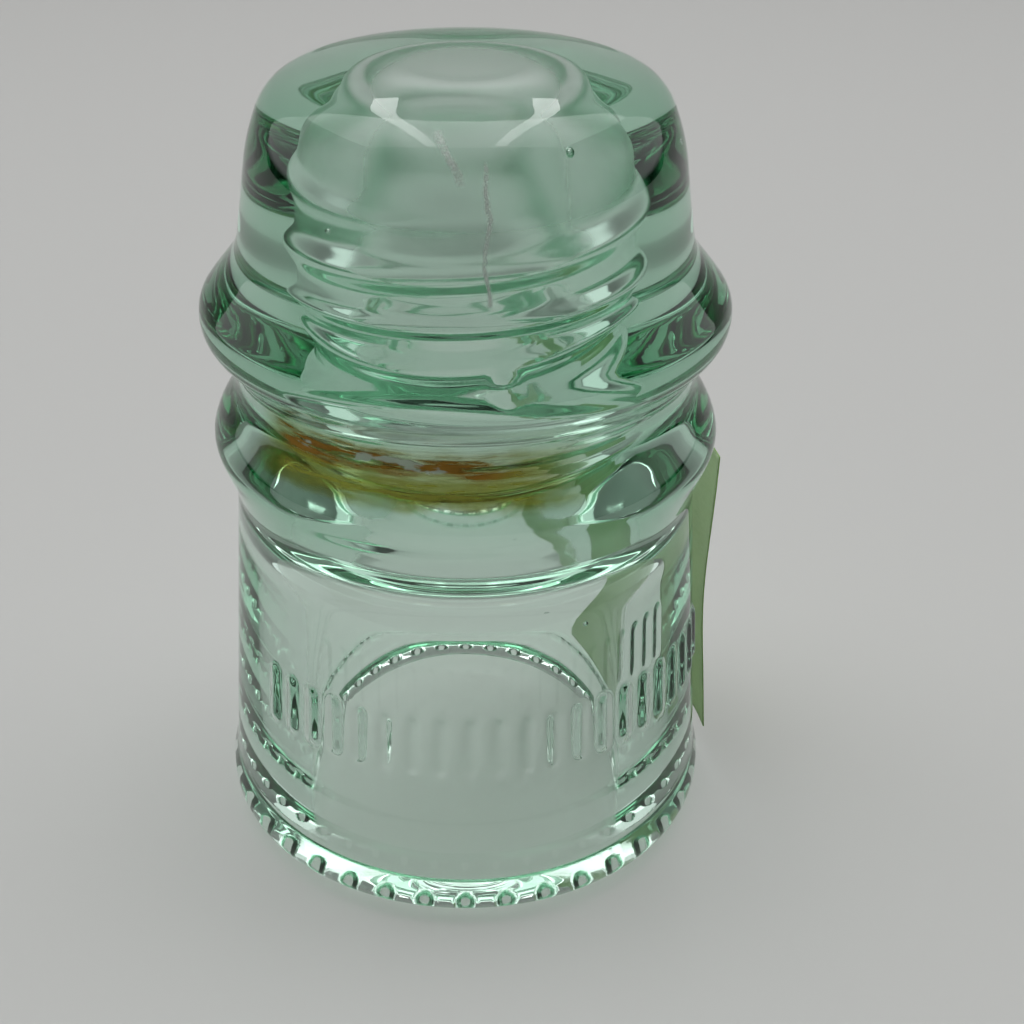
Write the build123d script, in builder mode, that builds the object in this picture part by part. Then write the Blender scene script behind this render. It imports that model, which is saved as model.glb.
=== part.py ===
from build123d import *
from math import cos, degrees, radians, sin
import os

# Pony-size pin-type line insulator: one pressed-glass body with a paper label stuck on it.
# Millimetres, +Z up, origin on the surface it stands on, on the centre line.
# The front, where the raised marks are, faces -Y.

# driving dimensions
HEIGHT = 88.3               # a 3 1/2 inch pony body
RIM_RADIUS = 28.6           # 2 1/4 inches across the rim bead
FOOT_HEIGHT = 1.3           # drip points below the base ring
PIN_PITCH = 25.4 / 4        # insulator pin thread, four turns to the inch
PIN_BORE_RADIUS = 11.4      # crest of the female thread
SKIRT_MOUTH_RADIUS = 20.0   # opening of the skirt at the base
LABEL_WIDTH = 24.0
LABEL_HEIGHT = 38.2

# outline above the rim
SKIRT_FOOT_RADIUS = 28.1
SKIRT_FOOT_Z = 5.6
SKIRT_TOP_RADIUS = 25.5
SKIRT_TOP_Z = 42.4
GROOVE_RADIUS = 23.4        # tie-wire groove between the two ridges, before rounding
GROOVE_Z = 56.1
NECK_RADIUS = 23.9
NECK_Z = 69.2
CROWN_RADIUS = 22.2
CROWN_Z = 80.5

# inside of the body
SKIRT_CEILING_RADIUS = 19.1
SKIRT_CEILING_Z = 37.0
SKIRT_CEILING_ROUNDING = 5.0
BORE_MOUTH_Z = 40.5
BORE_TOP_Z = 80.0
CAVITY_TOP_Z = 85.0

# pin thread
THREAD_GROOVE_RADIUS = 0.9
THREAD_START_Z = 43.7
THREAD_END_Z = 74.7         # plain bore above and below the thread groove
THREAD_START_ANGLE = 180.0  # from +X towards +Y

# drip points
DRIP_COUNT = 36
DRIP_RING_RADIUS = 24.8
DRIP_RADIUS = 1.3
DRIP_FLAT = 0.05            # taken off each tip, so that it has a flat to stand on

# raised marks round the front of the skirt
MARK_HEIGHT = 6.6
MARK_MIDDLE_Z = 23.2
MARK_RELIEF = 0.5
MARK_WIDTH = 1.2
MARK_FIRST_ANGLE = -51.0    # from the front towards +X, in degrees
MARK_STEP_ANGLE = 6.5
MARK_COUNT = 21

# paper label on the right-hand side, towards the back
LABEL_THICKNESS = 0.25
LABEL_CURVE_RADIUS = 45.0   # flatter than the skirt, so its two upright edges stand off
LABEL_ANGLE = 22.0          # where it touches, from +X towards +Y
LABEL_FOOT_Z = 5.9
LABEL_LEAN = 0.8            # how far its top leans in
LABEL_GAP = 0.02

os.makedirs("parts", exist_ok=True)


def skirt_radius(z):
    """Outer radius of the tapering skirt wall at a height."""
    taper = (SKIRT_FOOT_RADIUS - SKIRT_TOP_RADIUS) / (SKIRT_TOP_Z - SKIRT_FOOT_Z)
    return SKIRT_FOOT_RADIUS - taper * (z - SKIRT_FOOT_Z)


# ---------------------------------------------------------------- insulator_glass
# The corners of the outline as (radius, height), each with the radius that rounds it.
rim = [
    ((RIM_RADIUS, FOOT_HEIGHT), 1.6),
    ((RIM_RADIUS, 5.0), 1.0),
    ((SKIRT_FOOT_RADIUS, SKIRT_FOOT_Z), 0.3),
]
lower_ridge = [
    ((SKIRT_TOP_RADIUS, SKIRT_TOP_Z), 4.0),
    ((27.9, 48.7), 3.6),
    ((26.7, 51.5), 6.0),
]
groove = [((GROOVE_RADIUS, GROOVE_Z), 4.2)]
upper_ridge = [
    ((28.0, 61.1), 3.2),
    ((28.3, 63.8), 3.0),
]
crown = [
    ((NECK_RADIUS, NECK_Z), 6.0),
    ((CROWN_RADIUS, CROWN_Z), 20.0),
    ((20.0, 86.4), 5.6),
    ((11.1, HEIGHT), 42.0),
]
corners = rim + lower_ridge + groove + upper_ridge + crown
base_start = (SKIRT_MOUTH_RADIUS, FOOT_HEIGHT)
crown_end = (0, HEIGHT)

with BuildPart() as insulator_glass:
    with BuildSketch(Plane.XZ):
        with BuildLine():
            outline = FilletPolyline(
                base_start,
                *[point for point, _ in corners],
                crown_end,
                radius=[rounding for _, rounding in corners],
            )
            Line(outline @ 1, (0, FOOT_HEIGHT))
            Line((0, FOOT_HEIGHT), outline @ 0)
        make_face()
    revolve(axis=Axis.Z)

    # rounded drip points, each with a small flat tip to stand on
    with Locations((0, 0, DRIP_RADIUS - DRIP_FLAT)):
        with PolarLocations(DRIP_RING_RADIUS, DRIP_COUNT):
            Sphere(DRIP_RADIUS)
    with Locations((0, 0, -DRIP_RADIUS)):
        Cylinder(
            RIM_RADIUS,
            DRIP_RADIUS,
            align=(Align.CENTER, Align.CENTER, Align.MIN),
            mode=Mode.SUBTRACT,
        )

    # skirt hollow, ceiling, plain pin bore and its domed end
    with BuildSketch(Plane.XZ):
        with BuildLine():
            wall = FilletPolyline(
                (SKIRT_MOUTH_RADIUS, 0),
                (SKIRT_CEILING_RADIUS, SKIRT_CEILING_Z),
                (PIN_BORE_RADIUS, BORE_MOUTH_Z),
                (PIN_BORE_RADIUS, CAVITY_TOP_Z),
                (0, CAVITY_TOP_Z),
                radius=[SKIRT_CEILING_ROUNDING, 0, CAVITY_TOP_Z - BORE_TOP_Z],
            )
            Line(wall @ 1, (0, 0))
            Line((0, 0), wall @ 0)
        make_face()
    revolve(axis=Axis.Z, mode=Mode.SUBTRACT)

# rounded thread groove, cut out of the plain bore and leaving cylindrical crests
thread_height = THREAD_END_Z - THREAD_START_Z
with BuildPart() as thread_groove:
    with BuildLine():
        helix = Helix(PIN_PITCH, thread_height, PIN_BORE_RADIUS, center=(0, 0, THREAD_START_Z))
    with BuildSketch(Plane(origin=helix @ 0, z_dir=helix % 0)):
        Circle(THREAD_GROOVE_RADIUS)
    sweep(path=helix, is_frenet=True)

# raised upright marks: flat-sided bars trimmed to a thin band just outside the skirt wall
mark_planes = []
for step in range(MARK_COUNT):
    mark_angle = radians(MARK_FIRST_ANGLE + step * MARK_STEP_ANGLE)
    sideways = (cos(mark_angle), sin(mark_angle), 0)
    outward = (sin(mark_angle), -cos(mark_angle), 0)
    mark_planes.append(Plane(origin=(0, 0, MARK_MIDDLE_Z), x_dir=sideways, z_dir=outward))

band_low = MARK_MIDDLE_Z - MARK_HEIGHT
band_high = MARK_MIDDLE_Z + MARK_HEIGHT
with BuildPart() as raised_marks:
    with BuildSketch(*mark_planes):
        SlotOverall(MARK_HEIGHT, MARK_WIDTH, rotation=90)
    extrude(amount=RIM_RADIUS + MARK_RELIEF)
    with BuildSketch(Plane.XZ):
        with BuildLine():
            Polyline(
                (skirt_radius(band_low) - MARK_RELIEF, band_low),
                (skirt_radius(band_low) + MARK_RELIEF, band_low),
                (skirt_radius(band_high) + MARK_RELIEF, band_high),
                (skirt_radius(band_high) - MARK_RELIEF, band_high),
                close=True,
            )
        make_face()
    revolve(axis=Axis.Z, mode=Mode.INTERSECT)

with insulator_glass:
    add(thread_groove.part.rotate(Axis.Z, THREAD_START_ANGLE), mode=Mode.SUBTRACT)
    add(raised_marks.part)

insulator_glass.part.label = "insulator_glass"
export_step(insulator_glass.part, "parts/insulator_glass.step")

# ---------------------------------------------------------------- paper_label
# A stiff sheet, curved less than the glass and leaning in a little towards its top. It meets
# the glass along the middle of its foot, and its two upright edges stand clear.
label_angle = radians(LABEL_ANGLE)
label_outward = Vector(cos(label_angle), sin(label_angle), 0)
label_foot = label_outward * (skirt_radius(LABEL_FOOT_Z) + LABEL_GAP) + Vector(0, 0, LABEL_FOOT_Z)
label_up = Vector(0, 0, LABEL_HEIGHT) - label_outward * LABEL_LEAN
label_square = label_outward * LABEL_HEIGHT + Vector(0, 0, LABEL_LEAN)
half_turn = degrees(LABEL_WIDTH / 2 / LABEL_CURVE_RADIUS)
curve_centre = (-LABEL_CURVE_RADIUS, 0)

with BuildPart() as paper_label:
    with BuildSketch(Plane(origin=label_foot, x_dir=label_square, z_dir=label_up)):
        with BuildLine():
            inner = CenterArc(curve_centre, LABEL_CURVE_RADIUS, -half_turn, 2 * half_turn)
            outer = CenterArc(
                curve_centre, LABEL_CURVE_RADIUS + LABEL_THICKNESS, -half_turn, 2 * half_turn
            )
            Line(inner @ 0, outer @ 0)
            Line(inner @ 1, outer @ 1)
        make_face()
    extrude(amount=LABEL_HEIGHT)

paper_label.part.label = "paper_label"
export_step(paper_label.part, "parts/paper_label.step")
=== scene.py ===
import math

import bmesh
import bpy
from mathutils import Matrix, Vector


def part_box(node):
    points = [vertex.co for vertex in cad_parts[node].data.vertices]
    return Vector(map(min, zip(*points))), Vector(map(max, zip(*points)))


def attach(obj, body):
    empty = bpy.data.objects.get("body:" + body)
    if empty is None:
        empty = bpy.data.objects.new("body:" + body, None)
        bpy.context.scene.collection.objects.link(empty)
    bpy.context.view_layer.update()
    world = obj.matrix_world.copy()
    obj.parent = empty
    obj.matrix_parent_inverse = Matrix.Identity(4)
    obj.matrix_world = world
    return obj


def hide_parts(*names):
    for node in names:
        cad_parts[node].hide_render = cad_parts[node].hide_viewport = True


# A pony-size pin-type line insulator in pale aqua glass, with a blank paper label on its side,
# standing on its drip points on a pale table. The scene is in metres: a size written in
# millimetres is multiplied by MM where it is used.
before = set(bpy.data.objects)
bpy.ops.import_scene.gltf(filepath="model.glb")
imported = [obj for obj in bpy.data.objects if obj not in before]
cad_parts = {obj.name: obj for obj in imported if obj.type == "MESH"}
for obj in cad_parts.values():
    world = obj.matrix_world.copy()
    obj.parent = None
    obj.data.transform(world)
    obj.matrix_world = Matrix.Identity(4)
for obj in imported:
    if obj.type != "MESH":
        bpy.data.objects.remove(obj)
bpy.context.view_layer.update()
scene = bpy.context.scene
MM = 0.001

# ---- camera
# An observer standing over the table, looking down at the front of the insulator.
camera_data = bpy.data.cameras.new("camera")
camera = bpy.data.objects.new("camera", camera_data)
camera_data.sensor_width = 36.0
camera_data.lens = 56.25
camera_data.shift_x = 0.0454
camera_data.clip_start = 0.01
camera.location = (0, -158.7 * MM, 129.4 * MM)
camera.rotation_euler = (math.radians(90 - 30.43), 0, 0)
scene.collection.objects.link(camera)
scene.camera = camera


# ---- insulator_glass
# The insulator is one piece of soda-lime glass, pressed in an iron mould round a threaded
# plunger. The mould gives the ridges, wire groove, raised bars, rim bead and drip points, and
# the plunger gives the pin thread. Fire polishing leaves it smooth and slightly wavy.
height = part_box("insulator_glass")[1].z
foot_height = 1.3 * MM

# the outline from the top of the crown down to the base and up the inside, each corner as
# radius, height and the radius that rounds it, in millimetres
outline_corners = [
    (0, height / MM, 0),
    (11.1, height / MM, 42),
    (20.0, 86.4, 5.6),
    (22.2, 80.5, 20),
    (23.9, 69.2, 6),
    (28.3, 63.8, 3),
    (28.0, 61.1, 3.2),
    (23.4, 56.1, 4.2),
    (26.7, 51.5, 6),
    (27.9, 48.7, 3.6),
    (25.5, 42.4, 4),
    (28.1, 5.6, 0.4),
    (28.6, 5.0, 1.0),
    (28.6, 1.3, 1.6),
    (20.0, 1.3, 0.8),
    (19.1, 37.0, 5),
    (11.4, 40.5, 0.5),
    (11.4, 85.0, 5),
    (0, 85.0, 0),
]


def rounded_outline(corners):
    """The outline as points: straight runs with a true arc of the given radius at each corner."""
    arc_steps = 16
    points = [Vector(corners[0][:2])]
    for before, corner, after in zip(corners, corners[1:], corners[2:]):
        tip = Vector(corner[:2])
        back = (Vector(before[:2]) - tip).normalized()
        ahead = (Vector(after[:2]) - tip).normalized()
        half = back.angle(ahead) / 2
        centre = tip + (back + ahead).normalized() * corner[2] / math.sin(half)
        first = tip + back * corner[2] / math.tan(half) - centre
        last = tip + ahead * corner[2] / math.tan(half) - centre
        turn = -first.angle_signed(last)
        for step in range(arc_steps + 1):
            spoke = first.copy()
            spoke.rotate(Matrix.Rotation(turn * step / arc_steps, 2))
            points.append(centre + spoke)
    points.append(Vector(corners[-1][:2]))
    return points


def evenly_spaced(points, spacing):
    """Points at an even distance along a line of points, with its two ends kept."""
    spaced = [points[0]]
    left = spacing
    for start, end in zip(points, points[1:]):
        run = (end - start).length
        along = left
        while along < run:
            spaced.append(start.lerp(end, along / run))
            along += spacing
        left = along - run
    spaced.append(points[-1])
    return spaced


def eased(points, reach):
    """The same line with each point averaged with its neighbours, so that arcs run into straights."""
    last = len(points) - 1
    result = [points[0]]
    for index in range(1, last):
        span = min(reach, index, last - index)
        group = points[index - span : index + span + 1]
        result.append(sum(group, Vector((0, 0))) / len(group))
    return result + [points[-1]]


fine_step = 0.1
ease_reach = 6
fine_outline = eased(evenly_spaced(rounded_outline(outline_corners), fine_step), ease_reach)
base_index = min(range(len(fine_outline)), key=lambda i: (fine_outline[i].y, -fine_outline[i].x))

# Rings of vertices: close together and finely divided where the raised bars and the drip points
# are, evenly spaced down the thread, and wider apart on the plain walls.
marks_middle = 23.2
marks_half = 3.3
marks_margin = 0.9
base_zone = 2.4
skirt_top = 40.0
bore_mouth = 40.5
thread_top = 76.5
fine_gap = 0.4
bore_gap = 0.5
ridge_gap = 0.6
wall_gap = 0.9
pole_radii = (9.0, 4.0, 1.6)  # inside each of these, a ring has half as many sides
rings = []
next_ring = 0
for index, point in enumerate(fine_outline):
    if index < next_ring and index < len(fine_outline) - 1:
        continue
    outside = index < base_index
    in_marks = outside and abs(point.y - marks_middle) < marks_half + marks_margin
    in_base = point.y < base_zone
    if in_marks or in_base:
        gap, sides = fine_gap, 576
    elif outside and point.y < skirt_top:
        gap, sides = wall_gap, 288
    elif outside:
        gap, sides = ridge_gap, 288
    elif point.y < bore_mouth:
        gap, sides = wall_gap, 288
    elif bore_mouth < point.y < thread_top:
        gap, sides = bore_gap, 192
    else:
        gap, sides = wall_gap, 192
    for pole_radius in pole_radii:
        if point.x < pole_radius:
            sides //= 2
    rings.append((point.x * MM, point.y * MM, sides))
    next_ring = index + round(gap / fine_step)


def lathe_mesh(name, rings):
    """A closed mesh turned about +Z. The first and last rings are points on the axis."""
    on_axis = 1e-9
    vertices = []
    faces = []
    starts = []
    for radius, z, sides in rings:
        starts.append(len(vertices))
        if radius < on_axis:
            vertices.append((0, 0, z))
            continue
        for side in range(sides):
            angle = 2 * math.pi * side / sides
            vertices.append((radius * math.cos(angle), radius * math.sin(angle), z))
    for index in range(len(rings) - 1):
        upper, lower = starts[index], starts[index + 1]
        upper_sides, lower_sides = rings[index][2], rings[index + 1][2]
        if rings[index][0] < on_axis:
            for side in range(lower_sides):
                faces.append((upper, lower + side, lower + (side + 1) % lower_sides))
        elif rings[index + 1][0] < on_axis:
            for side in range(upper_sides):
                faces.append((lower, upper + (side + 1) % upper_sides, upper + side))
        else:
            common = math.gcd(upper_sides, lower_sides)
            a, b = upper_sides // common, lower_sides // common
            for part in range(common):
                top = [upper + (part * a + k) % upper_sides for k in range(a + 1)]
                bottom = [lower + (part * b + k) % lower_sides for k in range(b + 1)]
                if a == b:
                    faces.append((top[0], bottom[0], bottom[1], top[1]))
                    continue
                i = j = 0
                while i < a or j < b:
                    if i * b < j * a or j == b:
                        faces.append((top[i], bottom[j], top[i + 1]))
                        i += 1
                    else:
                        faces.append((top[i], bottom[j], bottom[j + 1]))
                        j += 1
    mesh = bpy.data.meshes.new(name)
    mesh.from_pydata(vertices, [], faces)
    mesh.validate()
    turned = bmesh.new()
    turned.from_mesh(mesh)
    bmesh.ops.recalc_face_normals(turned, faces=turned.faces)
    turned.to_mesh(mesh)
    turned.free()
    mesh.shade_smooth()
    return mesh


glass = bpy.data.objects.new("insulator_body", lathe_mesh("insulator_body", rings))
scene.collection.objects.link(glass)


def add(tree, kind, *values, **settings):
    """Adds a node, sets its properties, and gives its inputs values or links, in their order."""
    node = tree.nodes.new(kind)
    for setting, value in settings.items():
        setattr(node, setting, value)
    for socket, value in zip(node.inputs, values):
        if isinstance(value, bpy.types.Node):
            value = value.outputs[0]
        if isinstance(value, bpy.types.NodeSocket):
            tree.links.new(value, socket)
        elif value is not None:
            socket.default_value = value
    return node


def round_the_axis(tree):
    """Each vertex's place, its x, y and z, its distance from the axis and its way outward."""
    position = add(tree, "GeometryNodeInputPosition")
    axes = add(tree, "ShaderNodeSeparateXYZ", position).outputs
    flat = add(tree, "ShaderNodeCombineXYZ", axes[0], axes[1], 0.0)
    radius = add(tree, "ShaderNodeVectorMath", flat, operation="LENGTH").outputs["Value"]
    outward = add(tree, "ShaderNodeVectorMath", flat, operation="NORMALIZE")
    return position, axes, radius, outward


def shape_tree(name, sizes):
    """A Geometry Nodes tree with a mesh, a material and these named sizes as its inputs."""
    tree = bpy.data.node_groups.new(name, "GeometryNodeTree")
    tree.interface.new_socket("Geometry", in_out="OUTPUT", socket_type="NodeSocketGeometry")
    tree.interface.new_socket("Geometry", in_out="INPUT", socket_type="NodeSocketGeometry")
    tree.interface.new_socket("Material", in_out="INPUT", socket_type="NodeSocketMaterial")
    for size, value in sizes.items():
        socket = tree.interface.new_socket(size, in_out="INPUT", socket_type="NodeSocketFloat")
        socket.default_value = value
    return tree, add(tree, "NodeGroupInput").outputs


def close_tree(tree, given, moved):
    """Ends a tree: instances made real, the material set, and the group's output."""
    real = add(tree, "GeometryNodeRealizeInstances", moved)
    finished = add(tree, "GeometryNodeSetMaterial", real, None, given["Material"])
    add(tree, "NodeGroupOutput", finished)


def run_tree(piece, tree, material):
    """Applies a tree to a piece and leaves it a plain mesh."""
    modifier = piece.modifiers.new(tree.name, "NODES")
    modifier.node_group = tree
    for socket in tree.interface.items_tree:
        if socket.name == "Material":
            modifier[socket.identifier] = material
    bpy.context.view_layer.update()
    shaped = piece.evaluated_get(bpy.context.evaluated_depsgraph_get())
    mesh = bpy.data.meshes.new_from_object(shaped)
    piece.modifiers.clear()
    piece.data = mesh


def linear(code):
    """An sRGB hex colour as the linear values that a shader takes."""
    parts = [int(code[start : start + 2], 16) / 255 for start in (1, 3, 5)]
    return [c / 12.92 if c <= 0.04045 else ((c + 0.055) / 1.055) ** 2.4 for c in parts] + [1]


def new_finish(name):
    """A material with an empty node tree."""
    finish = bpy.data.materials.new(name)
    finish.use_nodes = True
    finish.node_tree.nodes.clear()
    return finish, finish.node_tree


# Aqua soda-lime glass, pressed and fire-polished: clear and glossy, IOR 1.52, with the green of
# iron in the sand, which shows pale through one wall and deep where the light runs a long way.
# The cold plunger leaves the domed end of the bore frosted.
aqua_glass, tree = new_finish("aqua_soda_lime_glass")
place = add(tree, "ShaderNodeTexCoord").outputs["Object"]
handling_size = 14 * MM
bore_reach = 13.5 * MM
frost_start = 68 * MM
frost_full = 76 * MM
crown_skin = 86 * MM
haze = add(tree, "ShaderNodeTexNoise", place, None, 1 / handling_size, 4.0, 0.6)
polish = add(tree, "ShaderNodeMapRange", haze, 0.45, 0.75, 0.0, 0.06)
axes = add(tree, "ShaderNodeSeparateXYZ", place).outputs
flat = add(tree, "ShaderNodeCombineXYZ", axes[0], axes[1], 0.0)
radius = add(tree, "ShaderNodeVectorMath", flat, operation="LENGTH").outputs["Value"]
in_bore = add(tree, "ShaderNodeMath", radius, bore_reach, operation="LESS_THAN")
in_dome = add(tree, "ShaderNodeMapRange", axes[2], frost_start, frost_full, 0.08, 0.30)
below_crown = add(tree, "ShaderNodeMath", axes[2], crown_skin, operation="LESS_THAN")
chill = add(tree, "ShaderNodeMath", in_bore, in_dome, operation="MULTIPLY")
inner_chill = add(tree, "ShaderNodeMath", chill, below_crown, operation="MULTIPLY")
roughness = add(tree, "ShaderNodeMath", polish, inner_chill, operation="MAXIMUM")
surface = add(tree, "ShaderNodeBsdfPrincipled")
surface.inputs["Base Color"].default_value = (1, 1, 1, 1)
surface.inputs["IOR"].default_value = 1.52
surface.inputs["Transmission Weight"].default_value = 1.0
tree.links.new(roughness.outputs[0], surface.inputs["Roughness"])
depth = add(tree, "ShaderNodeVolumeAbsorption", (0.22, 0.67, 0.44, 1), 25.0)
add(tree, "ShaderNodeOutputMaterial", surface, depth)

# The plunger's thread: a rounded groove wound up the bore, right-handed, four turns to the inch.
tree, given = shape_tree(
    "pin_thread",
    {
        "Pitch": 6.35 * MM,
        "Groove Depth": 0.9 * MM,
        "Groove Half Width": 2.4 * MM,
        "Start": 43.2 * MM,
        "End": 76.3 * MM,
        "Run Out": 2.0 * MM,
        "Groove Height": 72.3 * MM,
        "Largest Radius": 14.0 * MM,
    },
)
_, axes, radius, outward = round_the_axis(tree)
angle = add(tree, "ShaderNodeMath", axes[1], axes[0], operation="ARCTAN2")
turns = add(tree, "ShaderNodeMath", angle, 2 * math.pi, operation="DIVIDE")
climb = add(tree, "ShaderNodeMath", axes[2], given["Start"], operation="SUBTRACT")
from_turn = add(tree, "ShaderNodeMath", axes[2], given["Groove Height"], operation="SUBTRACT")
pitches = add(tree, "ShaderNodeMath", from_turn, given["Pitch"], operation="DIVIDE")
phase = add(tree, "ShaderNodeMath", pitches, turns, operation="SUBTRACT")
from_groove = add(tree, "ShaderNodeMath", phase, 0.5, operation="PINGPONG")
distance = add(tree, "ShaderNodeMath", from_groove, given["Pitch"], operation="MULTIPLY")
groove = add(
    tree,
    "ShaderNodeMapRange",
    distance,
    given["Groove Half Width"],
    0.0,
    0.0,
    given["Groove Depth"],
    interpolation_type="SMOOTHSTEP",
)
above = add(tree, "ShaderNodeMath", climb, given["Run Out"], operation="DIVIDE", use_clamp=True)
room = add(tree, "ShaderNodeMath", given["End"], axes[2], operation="SUBTRACT")
below = add(tree, "ShaderNodeMath", room, given["Run Out"], operation="DIVIDE", use_clamp=True)
inside = add(tree, "ShaderNodeMath", radius, given["Largest Radius"], operation="LESS_THAN")
ends = add(tree, "ShaderNodeMath", above, below, operation="MULTIPLY")
share = add(tree, "ShaderNodeMath", ends, inside, operation="MULTIPLY")
depth = add(tree, "ShaderNodeMath", groove, share, operation="MULTIPLY")
shift = add(tree, "ShaderNodeVectorMath", outward, operation="SCALE")
tree.links.new(depth.outputs[0], shift.inputs["Scale"])
cut = add(tree, "GeometryNodeSetPosition", given["Geometry"], None, None, shift)
close_tree(tree, given, cut)
run_tree(glass, tree, aqua_glass)

# Thirty-six drip points round the base, each a low rounded bump.
tree, given = shape_tree(
    "drip_points",
    {
        "Count": 36,
        "Ring Radius": 24.8 * MM,
        "Foot Radius": 1.25 * MM,
        "Tip Radius": 0.1 * MM,
        "Height": foot_height,
        "Base Height": foot_height,
    },
)
_, axes, radius, _ = round_the_axis(tree)
angle = add(tree, "ShaderNodeMath", axes[1], axes[0], operation="ARCTAN2")
spacing = add(tree, "ShaderNodeMath", 2 * math.pi, given["Count"], operation="DIVIDE")
points_round = add(tree, "ShaderNodeMath", angle, spacing, operation="DIVIDE")
from_point = add(tree, "ShaderNodeMath", points_round, 0.5, operation="PINGPONG")
turn = add(tree, "ShaderNodeMath", from_point, spacing, operation="MULTIPLY")
sideways = add(tree, "ShaderNodeMath", turn, given["Ring Radius"], operation="MULTIPLY")
across = add(tree, "ShaderNodeMath", radius, given["Ring Radius"], operation="SUBTRACT")
off_centre = add(tree, "ShaderNodeCombineXYZ", sideways, across, 0.0)
reach = add(tree, "ShaderNodeVectorMath", off_centre, operation="LENGTH").outputs["Value"]
drop = add(
    tree,
    "ShaderNodeMapRange",
    reach,
    given["Foot Radius"],
    given["Tip Radius"],
    0.0,
    given["Height"],
    interpolation_type="SMOOTHSTEP",
)
base_margin = 0.05 * MM
base_top = add(tree, "ShaderNodeMath", given["Base Height"], base_margin, operation="ADD")
on_base = add(tree, "ShaderNodeMath", axes[2], base_top, operation="LESS_THAN")
down = add(tree, "ShaderNodeMath", drop, on_base, operation="MULTIPLY")
down_signed = add(tree, "ShaderNodeMath", down, -1.0, operation="MULTIPLY")
shift = add(tree, "ShaderNodeCombineXYZ", 0.0, 0.0, down_signed)
pressed = add(tree, "GeometryNodeSetPosition", given["Geometry"], None, None, shift)
close_tree(tree, given, pressed)
run_tree(glass, tree, aqua_glass)

# Raised upright bars round the front of the skirt, and the slow waviness of pressed glass.
tree, given = shape_tree(
    "raised_bars",
    {
        "Count": 21,
        "First Angle": math.radians(-51),
        "Step Angle": math.radians(6.5),
        "Middle Height": marks_middle * MM,
        "Half Length": marks_half * MM,
        "Half Width": 0.6 * MM,
        "Edge": 0.58 * MM,
        "Relief": 0.38 * MM,
        "Wave Height": 0.07 * MM,
        "Wave Length": 16 * MM,
        "Ripple Height": 0.012 * MM,
        "Ripple Length": 3.5 * MM,
    },
)
position, axes, radius, outward = round_the_axis(tree)
towards_front = add(tree, "ShaderNodeMath", axes[1], -1.0, operation="MULTIPLY")
angle = add(tree, "ShaderNodeMath", axes[0], towards_front, operation="ARCTAN2")
past_first = add(tree, "ShaderNodeMath", angle, given["First Angle"], operation="SUBTRACT")
bars_round = add(tree, "ShaderNodeMath", past_first, given["Step Angle"], operation="DIVIDE")
from_bar = add(tree, "ShaderNodeMath", bars_round, 0.5, operation="PINGPONG")
turn = add(tree, "ShaderNodeMath", from_bar, given["Step Angle"], operation="MULTIPLY")
sideways = add(tree, "ShaderNodeMath", turn, radius, operation="MULTIPLY")
rise = add(tree, "ShaderNodeMath", axes[2], given["Middle Height"], operation="SUBTRACT")
rise_size = add(tree, "ShaderNodeMath", rise, operation="ABSOLUTE")
spine = add(tree, "ShaderNodeMath", given["Half Length"], given["Half Width"], operation="SUBTRACT")
past_spine = add(tree, "ShaderNodeMath", rise_size, spine, operation="SUBTRACT")
past_end = add(tree, "ShaderNodeMath", past_spine, 0.0, operation="MAXIMUM")
off_spine = add(tree, "ShaderNodeCombineXYZ", sideways, past_end, 0.0)
reach = add(tree, "ShaderNodeVectorMath", off_spine, operation="LENGTH").outputs["Value"]
outer_edge = add(tree, "ShaderNodeMath", given["Half Width"], given["Edge"], operation="ADD")
inner_edge = add(tree, "ShaderNodeMath", given["Half Width"], given["Edge"], operation="SUBTRACT")
bar = add(
    tree,
    "ShaderNodeMapRange",
    reach,
    outer_edge,
    inner_edge,
    0.0,
    given["Relief"],
    interpolation_type="SMOOTHSTEP",
)
after_first = add(tree, "ShaderNodeMath", bars_round, -0.5, operation="GREATER_THAN")
last_bar = add(tree, "ShaderNodeMath", given["Count"], 0.5, operation="SUBTRACT")
before_last = add(tree, "ShaderNodeMath", bars_round, last_bar, operation="LESS_THAN")
skirt_inside = 25.0 * MM
skirt_outside = add(tree, "ShaderNodeMath", radius, skirt_inside, operation="GREATER_THAN")
in_row = add(tree, "ShaderNodeMath", after_first, before_last, operation="MULTIPLY")
in_band = add(tree, "ShaderNodeMath", in_row, skirt_outside, operation="MULTIPLY")
raised = add(tree, "ShaderNodeMath", bar, in_band, operation="MULTIPLY")
bar_shift = add(tree, "ShaderNodeVectorMath", outward, operation="SCALE")
tree.links.new(raised.outputs[0], bar_shift.inputs["Scale"])
wave_scale = add(tree, "ShaderNodeMath", 1.0, given["Wave Length"], operation="DIVIDE")
wave = add(tree, "ShaderNodeTexNoise", position, None, wave_scale, 1.0)
wave_middle = add(tree, "ShaderNodeMath", wave, 0.5, operation="SUBTRACT")
wave_lift = add(tree, "ShaderNodeMath", wave_middle, given["Wave Height"], operation="MULTIPLY")
squeeze = add(tree, "ShaderNodeVectorMath", position, (0.18, 0.18, 1.0), operation="MULTIPLY")
ripple_scale = add(tree, "ShaderNodeMath", 1.0, given["Ripple Length"], operation="DIVIDE")
ripple = add(tree, "ShaderNodeTexNoise", squeeze, None, ripple_scale, 2.0)
ripple_middle = add(tree, "ShaderNodeMath", ripple, 0.5, operation="SUBTRACT")
ripple_lift = add(
    tree, "ShaderNodeMath", ripple_middle, given["Ripple Height"], operation="MULTIPLY"
)
lift = add(tree, "ShaderNodeMath", wave_lift, ripple_lift, operation="ADD")
clear_of_base = add(
    tree, "ShaderNodeMapRange", axes[2], foot_height, 3 * foot_height, 0.0, 1.0
)
eased_lift = add(tree, "ShaderNodeMath", lift, clear_of_base, operation="MULTIPLY")
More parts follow.
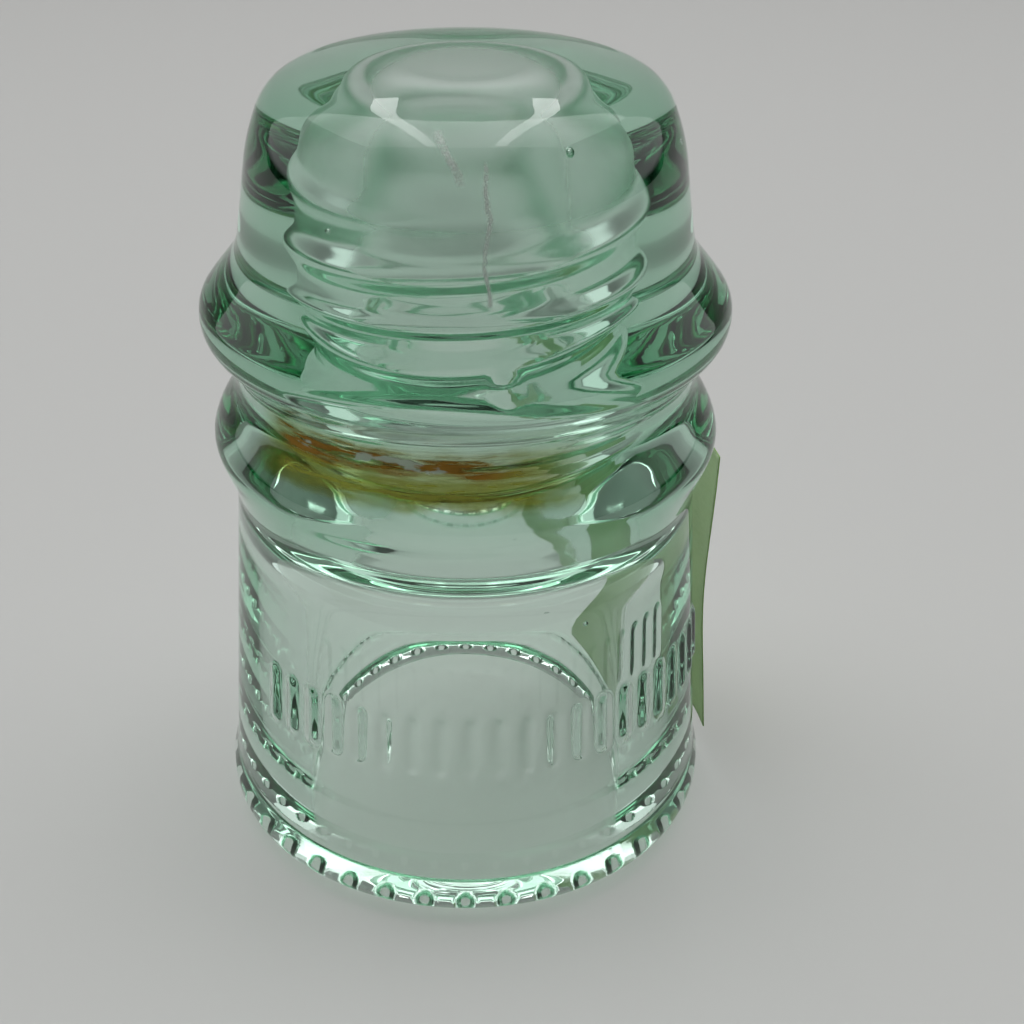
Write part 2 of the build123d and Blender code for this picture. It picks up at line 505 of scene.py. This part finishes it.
wave_shift = add(
    tree, "ShaderNodeVectorMath", add(tree, "GeometryNodeInputNormal"), operation="SCALE"
)
tree.links.new(eased_lift.outputs[0], wave_shift.inputs["Scale"])
shift = add(tree, "ShaderNodeVectorMath", bar_shift, wave_shift, operation="ADD")
moulded = add(tree, "GeometryNodeSetPosition", given["Geometry"], None, None, shift)
close_tree(tree, given, moulded)
run_tree(glass, tree, aqua_glass)

# A few seeds, the small bubbles that pressed glass traps in its wall, and a flake chipped out of
# the upper ridge. Each seed is a closed hollow whose faces point into it, given by its angle from
# the front, its distance from the axis, its height and its radius, in degrees and millimetres.
details = bmesh.new()
details.from_mesh(glass.data)
seeds = [
    (31, 17.5, 83.0, 0.42),
    (-39, 19.0, 75.9, 0.30),
    (31, 23.0, 34.9, 0.28),
    (-118, 22.5, 66.0, 0.35),
    (152, 23.5, 20.0, 0.40),
    (88, 18.0, 79.0, 0.30),
]
for seed_angle, distance, rise, size in seeds:
    azimuth = math.radians(seed_angle)
    spot = Vector((math.sin(azimuth) * distance, -math.cos(azimuth) * distance, rise)) * MM
    made = bmesh.ops.create_icosphere(
        details, subdivisions=2, radius=size * MM, matrix=Matrix.Translation(spot)
    )
    hollow = {face for vertex in made["verts"] for face in vertex.link_faces}
    bmesh.ops.reverse_faces(details, faces=list(hollow))
    for face in hollow:
        face.smooth = True
chip_angle = math.radians(8)
chip_radius = 27.3
chip_height = 65.0
chip_x = math.sin(chip_angle) * chip_radius
chip_y = -math.cos(chip_angle) * chip_radius
chip_spot = Vector((chip_x, chip_y, chip_height)) * MM
chip_size = 1.5 * MM
chip_depth = 0.45 * MM
for vertex in details.verts:
    away = (vertex.co - chip_spot).length / chip_size
    if away < 1:
        vertex.co -= vertex.normal * chip_depth * (1 - away * away)
details.to_mesh(glass.data)
details.free()

# Clear glass this pale takes little from the light that falls on the table and the label.
glass.visible_shadow = False

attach(glass, "root")
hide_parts("insulator_glass")


# ---- groove_stain
# Rust and oily dirt left in the wire groove by an iron tie wire: a thin uneven crust wiped round
# the front, rust brown along the wire's line, olive below it, with pale flakes where it lifted.
def skin_film(name, finish, heights, angles, lift, thickness):
    """A thin closed film over the outside of the glass, between two heights and two angles."""
    low, high = heights
    first, last = angles
    inner_wall = 15 * MM
    smallest_face = 1e-9
    skin = bmesh.new()
    skin.from_mesh(glass.data)
    elsewhere = []
    for face in skin.faces:
        middle = face.calc_center_median()
        angle = math.degrees(math.atan2(middle.x, -middle.y))
        on_film = low < middle.z / MM < high and first < angle < last
        if not on_film or middle.xy.length < inner_wall or face.calc_area() < smallest_face:
            elsewhere.append(face)
    bmesh.ops.delete(skin, geom=elsewhere, context="FACES")
    skin.normal_update()
    for vertex in skin.verts:
        vertex.co += vertex.normal * lift
    bmesh.ops.solidify(skin, geom=skin.faces[:], thickness=-thickness)
    bmesh.ops.recalc_face_normals(skin, faces=skin.faces)
    mesh = bpy.data.meshes.new(name)
    skin.to_mesh(mesh)
    skin.free()
    mesh.materials.append(finish)
    film = bpy.data.objects.new(name, mesh)
    scene.collection.objects.link(film)
    return film


# Iron rust and dirt, dried on: dull and grainy, thin enough at its edges to see the glass through.
rust, tree = new_finish("iron_rust_stain")
place = add(tree, "ShaderNodeTexCoord").outputs["Object"]
axes = add(tree, "ShaderNodeSeparateXYZ", place).outputs
towards_front = add(tree, "ShaderNodeMath", axes[1], -1.0, operation="MULTIPLY")
angle = add(tree, "ShaderNodeMath", axes[0], towards_front, operation="ARCTAN2")
groove_radius = 25 * MM
wipe_stretch = 0.10
flake_stretch = 0.35
along = add(tree, "ShaderNodeMath", angle, groove_radius, operation="MULTIPLY")
wiped_along = add(tree, "ShaderNodeMath", along, wipe_stretch, operation="MULTIPLY")
wiped_place = add(tree, "ShaderNodeCombineXYZ", wiped_along, axes[2], 0.0)
patch_place = add(tree, "ShaderNodeCombineXYZ", along, axes[2], 0.0)
flake_along = add(tree, "ShaderNodeMath", along, flake_stretch, operation="MULTIPLY")
flake_place = add(tree, "ShaderNodeCombineXYZ", flake_along, axes[2], 0.7)
wipe_size = 0.7 * MM
patch_size = 6 * MM
flake_size = 1.1 * MM
wiping = add(tree, "ShaderNodeTexNoise", wiped_place, None, 1 / wipe_size, 4.0, 0.6)
patches = add(tree, "ShaderNodeTexNoise", patch_place, None, 1 / patch_size, 4.0, 0.6)
flaking = add(tree, "ShaderNodeTexNoise", flake_place, None, 1 / flake_size, 3.0, 0.55)
sway_size = 2.4 * MM
sway = add(tree, "ShaderNodeMath", patches, 0.5, operation="SUBTRACT")
sway_height = add(tree, "ShaderNodeMath", sway, sway_size, operation="MULTIPLY")
level = add(tree, "ShaderNodeMath", axes[2], sway_height, operation="ADD")
dirt_grain = add(tree, "ShaderNodeMapRange", wiping, 0.30, 0.62, 0.45, 0.92)
rust_grain = add(tree, "ShaderNodeMapRange", wiping, 0.36, 0.54)
flake_spots = add(tree, "ShaderNodeMapRange", flaking, 0.53, 0.58)

# Each deposit lies in a band round the groove. Each of the band's four edges fades in between two
# values: its left and right ends in degrees from the front, and its foot and head in millimetres.
deposits = [
    (dirt_grain, (-58, -42), (34, 10), (51.0, 52.6), (58.4, 55.0)),
    (rust_grain, (-54, -44), (17, 2), (53.9, 54.7), (57.6, 56.2)),
    (flake_spots, (-54, -44), (17, 2), (54.9, 55.2), (56.6, 56.0)),
]
covers = []
for grain, left, right, foot, head in deposits:
    share = grain
    for measure, (bare_at, full_at), unit in (
        (angle, left, math.radians(1)),
        (angle, right, math.radians(1)),
        (level, foot, MM),
        (level, head, MM),
    ):
        edge = add(
            tree,
            "ShaderNodeMapRange",
            measure,
            bare_at * unit,
            full_at * unit,
            interpolation_type="SMOOTHSTEP",
        )
        share = add(tree, "ShaderNodeMath", share, edge, operation="MULTIPLY")
    covers.append(share)
dirt, rusted, flakes = covers

# A mix of colours takes its share first and its two colours after five inputs of other kinds.
others = [None] * 5
rust_colours = linear("#85551a"), linear("#cda038")
rust_colour = add(tree, "ShaderNodeMix", wiping, *others, *rust_colours, data_type="RGBA")
grime_colours = linear("#b4b44e"), rust_colour.outputs[2]
grime_colour = add(tree, "ShaderNodeMix", rusted, *others, *grime_colours, data_type="RGBA")
crust_colours = grime_colour.outputs[2], linear("#cfd6cb")
crust_colour = add(tree, "ShaderNodeMix", flakes, *others, *crust_colours, data_type="RGBA")
crust = crust_colour.outputs[2]
rust_cover = add(tree, "ShaderNodeMath", dirt, rusted, operation="MAXIMUM")
cover = add(tree, "ShaderNodeMath", rust_cover, flakes, operation="MAXIMUM")
surface = add(tree, "ShaderNodeBsdfPrincipled", crust)
surface.inputs["Roughness"].default_value = 0.8
tinted = add(tree, "ShaderNodeBsdfTransparent", crust)
dull = add(tree, "ShaderNodeMapRange", cover, 0.6, 1.0, 0.15, 0.55)
body = add(tree, "ShaderNodeMixShader", dull, tinted, surface)
bare = add(tree, "ShaderNodeBsdfTransparent")
film_look = add(tree, "ShaderNodeMixShader", cover, bare, body)
add(tree, "ShaderNodeOutputMaterial", film_look)

stain = skin_film("groove_stain", rust, (50.4, 58.6), (-60, 36), 0.05 * MM, 0.04 * MM)
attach(stain, "root")

# ---- crown_scratches
# Two pale scratches down the front of the crown, where something hard dragged over the glass:
# a short broad one below its edge and a long fine one beside it, both powdery with crushed glass.
powder, tree = new_finish("crushed_glass_powder")
place = add(tree, "ShaderNodeTexCoord").outputs["Object"]
axes = add(tree, "ShaderNodeSeparateXYZ", place).outputs
grit_size = 0.5 * MM
bend_size = 4 * MM
grit = add(tree, "ShaderNodeTexNoise", place, None, 1 / grit_size, 3.0, 0.6)
bend = add(tree, "ShaderNodeTexNoise", place, None, 1 / bend_size, 2.0, 0.5)
bend_middle = add(tree, "ShaderNodeMath", bend, 0.5, operation="SUBTRACT")
bend_reach = 1.2 * MM
bend_shift = add(tree, "ShaderNodeMath", bend_middle, bend_reach, operation="MULTIPLY")
across = add(tree, "ShaderNodeMath", axes[0], bend_shift, operation="ADD")

# x at the top and foot, height at the top and foot, and half the width, in millimetres
scratches = [
    (-2.4, -0.5, 86.2, 82.6, 0.55),
    (1.9, 2.1, 84.0, 71.5, 0.30),
]
fade = 0.4
powdered = 0.0
for top_x, foot_x, top_z, foot_z, half_width in scratches:
    ends = top_z * MM, foot_z * MM, top_x * MM, foot_x * MM
    line = add(tree, "ShaderNodeMapRange", axes[2], *ends)
    off_line = add(tree, "ShaderNodeMath", across, line, operation="SUBTRACT")
    off_size = add(tree, "ShaderNodeMath", off_line, operation="ABSOLUTE")
    inside_width = add(tree, "ShaderNodeMapRange", off_size, half_width * MM, 0.0)
    top_fade = (top_z + fade) * MM, (top_z - fade) * MM
    foot_fade = (foot_z - fade) * MM, (foot_z + fade) * MM
    from_top = add(tree, "ShaderNodeMapRange", axes[2], *top_fade)
    from_foot = add(tree, "ShaderNodeMapRange", axes[2], *foot_fade)
    in_length = add(tree, "ShaderNodeMath", from_top, from_foot, operation="MULTIPLY")
    scratch = add(tree, "ShaderNodeMath", inside_width, in_length, operation="MULTIPLY")
    powdered = add(tree, "ShaderNodeMath", scratch, powdered, operation="MAXIMUM")
gritty = add(tree, "ShaderNodeMapRange", grit, 0.35, 0.60, 0.15, 0.85)
cover = add(tree, "ShaderNodeMath", powdered, gritty, operation="MULTIPLY")
surface = add(tree, "ShaderNodeBsdfPrincipled")
surface.inputs["Base Color"].default_value = linear("#dfe9e2")
surface.inputs["Roughness"].default_value = 0.7
bare = add(tree, "ShaderNodeBsdfTransparent")
film_look = add(tree, "ShaderNodeMixShader", cover, bare, surface)
add(tree, "ShaderNodeOutputMaterial", film_look)

scratched = skin_film("crown_scratches", powder, (71.0, 86.9), (-10, 10), 0.03 * MM, 0.02 * MM)
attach(scratched, "root")

# ---- paper_label
# A blank yellow-green price label of plain dyed paper, gummed to the skirt by the lower half of
# its middle. It is stiffer than the curve of the glass, so its upright edges, foot and top stand
# off, and the edges flutter a little. Sizes are in millimetres.
label_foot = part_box("paper_label")[0].z / MM
label_height = 38.2
label_width = 24.0
label_curve = 45.0
label_thickness = 0.14
label_angle = math.radians(22)
label_gap = 0.02
foot_radius = 28.1
top_lean = 0.8
belly_depth = 2.8
foot_kick = 0.45
edge_flutter = 0.16
cells_across = 40
cells_up = 64


def label_place(across, up, raised):
    """A place on the label: shares of its width and height, and how far it is off its back."""
    turn = (across - 0.5) * label_width / label_curve
    lean = top_lean * up
    belly = belly_depth * up * (1 - up)
    kick = foot_kick * (1 - up) ** 4
    flutter = edge_flutter * (2 * across - 1) ** 2 * math.sin(9 * up + 2 * across)
    distance = label_curve * math.cos(turn) - label_curve + foot_radius
    distance += kick - lean - belly + flutter + raised
    sideways = (label_curve + raised) * math.sin(turn)
    x = distance * math.cos(label_angle) - sideways * math.sin(label_angle)
    y = distance * math.sin(label_angle) + sideways * math.cos(label_angle)
    return (x * MM, y * MM, (label_foot + label_height * up) * MM)


label_mesh = bpy.data.meshes.new("paper_label")
label_shape = bmesh.new()
sides = []
for raised in (label_gap, label_gap + label_thickness):
    rows = []
    for up in range(cells_up + 1):
        row = []
        for across in range(cells_across + 1):
            corner = label_place(across / cells_across, up / cells_up, raised)
            row.append(label_shape.verts.new(corner))
        rows.append(row)
    sides.append(rows)
back, face = sides
for up in range(cells_up):
    for across in range(cells_across):
        for rows, finish in ((back, 1), (face, 0)):
            low, high = rows[up], rows[up + 1]
            foot_edge = low[across : across + 2]
            head_edge = high[across + 1], high[across]
            cell = label_shape.faces.new((*foot_edge, *head_edge))
            cell.material_index = finish
            cell.smooth = True
for across in range(cells_across):
    for up in (0, cells_up):
        label_shape.faces.new(
            (back[up][across], back[up][across + 1], face[up][across + 1], face[up][across])
        )
for up in range(cells_up):
    for across in (0, cells_across):
        label_shape.faces.new(
            (back[up][across], back[up + 1][across], face[up + 1][across], face[up][across])
        )
bmesh.ops.recalc_face_normals(label_shape, faces=label_shape.faces)
label_shape.to_mesh(label_mesh)
label_shape.free()
label = bpy.data.objects.new("paper_label", label_mesh)
scene.collection.objects.link(label)

# Dyed label paper, uncoated: matt, with fibres that show a little darker, a faint fade, and thin
# enough for light to glow through. Its back is paler, under clear gum.
paper_sides = [
    ("yellow_green_label_paper", "#afd08a", "#9abc78"),
    ("gummed_label_back", "#dde6d2", "#cfdac2"),
]
fibre_length = 1.2 * MM
mottle_size = 9 * MM
fibre_relief = 0.03 * MM
for paper_name, plain_colour, fibre_colour in paper_sides:
    paper, tree = new_finish(paper_name)
    place = add(tree, "ShaderNodeTexCoord").outputs["Object"]
    combed = add(tree, "ShaderNodeVectorMath", place, (1.0, 1.0, 4.0), operation="MULTIPLY")
    fibres = add(tree, "ShaderNodeTexNoise", combed, None, 1 / fibre_length, 5.0, 0.65)
    mottle = add(tree, "ShaderNodeTexNoise", place, None, 1 / mottle_size, 2.0, 0.5)
    both = add(tree, "ShaderNodeMath", fibres, mottle, operation="MULTIPLY")
    share = add(tree, "ShaderNodeMapRange", both, 0.12, 0.40)
    colours = linear(plain_colour), linear(fibre_colour)
    colour = add(tree, "ShaderNodeMix", share, *others, *colours, data_type="RGBA").outputs[2]
    relief = add(tree, "ShaderNodeBump", 0.3, fibre_relief)
    tree.links.new(fibres.outputs[0], relief.inputs["Height"])
    surface = add(tree, "ShaderNodeBsdfPrincipled", colour)
    surface.inputs["Roughness"].default_value = 0.75
    tree.links.new(relief.outputs[0], surface.inputs["Normal"])
    glow = add(tree, "ShaderNodeBsdfTranslucent", colour)
    thin = add(tree, "ShaderNodeMixShader", 0.6, surface, glow)
    add(tree, "ShaderNodeOutputMaterial", thin)
    label_mesh.materials.append(paper)

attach(label, "root")
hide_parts("paper_label")

# ---- table and light
# A pale matt board, swept up behind, under soft studio light. The near side is a board of its own,
# which the glass doesn't see, because the observer leans over it and leaves nothing bright there.
table_finish, tree = new_finish("pale_matt_board")
surface = add(tree, "ShaderNodeBsdfPrincipled")
surface.inputs["Base Color"].default_value = linear("#c8c8c6")
surface.inputs["Roughness"].default_value = 0.8
add(tree, "ShaderNodeOutputMaterial", surface)
front_edge = -1.0
near_edge = -0.09
bend_start = 0.55
bend_radius = 0.35
bend_steps = 12
wall_top = 1.2
half_width = 1.2
sweep_line = [(near_edge, 0.0), (bend_start, 0.0)]
for step in range(1, bend_steps + 1):
    bend = math.radians(90 * step / bend_steps)
    depth = bend_start + bend_radius * math.sin(bend)
    sweep_line.append((depth, bend_radius * (1 - math.cos(bend))))
sweep_line.append((bend_start + bend_radius, wall_top))
front_line = [(front_edge, 0.0), (near_edge, 0.0)]
for table_name, line in (("table_sweep", sweep_line), ("table_front", front_line)):
    table_mesh = bpy.data.meshes.new(table_name)
    corners = []
    for depth, rise in line:
        corners.append((-half_width, depth, rise))
        corners.append((half_width, depth, rise))
    strips = []
    for first in range(0, 2 * len(line) - 2, 2):
        strips.append((first, first + 1, first + 3, first + 2))
    table_mesh.from_pydata(corners, [], strips)
    table_mesh.shade_smooth()
    table_mesh.materials.append(table_finish)
    table = bpy.data.objects.new(table_name, table_mesh)
    table.visible_transmission = table_name == "table_sweep"
    scene.collection.objects.link(table)


def soft_light(name, place, target, width, depth, power):
    """A large rectangular lamp that faces a point."""
    lamp = bpy.data.lights.new(name, "AREA")
    lamp.shape = "RECTANGLE"
    lamp.size = width
    lamp.size_y = depth
    lamp.energy = power
    stand = bpy.data.objects.new(name, lamp)
    stand.location = place
    stand.rotation_euler = (Vector(target) - Vector(place)).to_track_quat("-Z", "Y").to_euler()
    scene.collection.objects.link(stand)


# two narrow strips that run from front to back, and a broad pale ceiling above them
strip_height = 0.62
strip_middle = 0.30
for strip_side in (-0.13, 0.13):
    strip_spot = (strip_side, strip_middle, strip_height)
    below = (strip_side, strip_middle, 0)
    soft_light("ceiling_strip", strip_spot, below, width=0.045, depth=1.0, power=0.35)
soft_light("pale_ceiling", (0, 0.25, 1.25), (0, 0.05, 0), width=2.4, depth=1.6, power=11.5)

# The thick crown and ridges hold back some of the light that falls on the table inside the skirt.
# A disc that nothing sees, and that only casts a shadow, stands for that.
shade_mesh = bpy.data.meshes.new("crown_shade")
shade_shape = bmesh.new()
shade_radius = 18 * MM
shade_middle = Matrix.Translation((0, 0, 34 * MM))
bmesh.ops.create_circle(
    shade_shape, cap_ends=True, segments=48, radius=shade_radius, matrix=shade_middle
)
shade_shape.to_mesh(shade_mesh)
shade_shape.free()
shade = bpy.data.objects.new("crown_shade", shade_mesh)
scene.collection.objects.link(shade)
shade.visible_camera = False
shade.visible_diffuse = False
shade.visible_glossy = False
shade.visible_transmission = False

# The room is pale behind the table and overhead, and dark on the observer's side. Seen directly,
# it is an even pale backdrop.
world = bpy.data.worlds.new("soft_room")
scene.world = world
world.use_nodes = True
tree = world.node_tree
tree.nodes.clear()
towards = add(tree, "ShaderNodeTexCoord").outputs["Generated"]
axes = add(tree, "ShaderNodeSeparateXYZ", towards).outputs
observer_side = -0.25
far_side = 0.15
observer_light = 0.01
room_brightness = 1.35
from_behind = add(
    tree,
    "ShaderNodeMapRange",
    axes[1],
    observer_side,
    far_side,
    observer_light,
    room_brightness,
    interpolation_type="SMOOTHSTEP",
)
horizon_blur = 0.02
above_table = add(tree, "ShaderNodeMapRange", axes[2], -horizon_blur, horizon_blur)
from_room = add(tree, "ShaderNodeMath", from_behind, above_table, operation="MULTIPLY")
backdrop = add(tree, "ShaderNodeLightPath").outputs["Is Camera Ray"]
backdrop_light = 0.75
room_light = add(tree, "ShaderNodeMix", backdrop, None, from_room, backdrop_light)
sky = add(tree, "ShaderNodeBackground", linear("#d6d7d7"), room_light)
add(tree, "ShaderNodeOutputWorld", sky)

scene.view_settings.view_transform = "Standard"
scene.cycles.max_bounces = 32
scene.cycles.transmission_bounces = 32
scene.cycles.glossy_bounces = 16
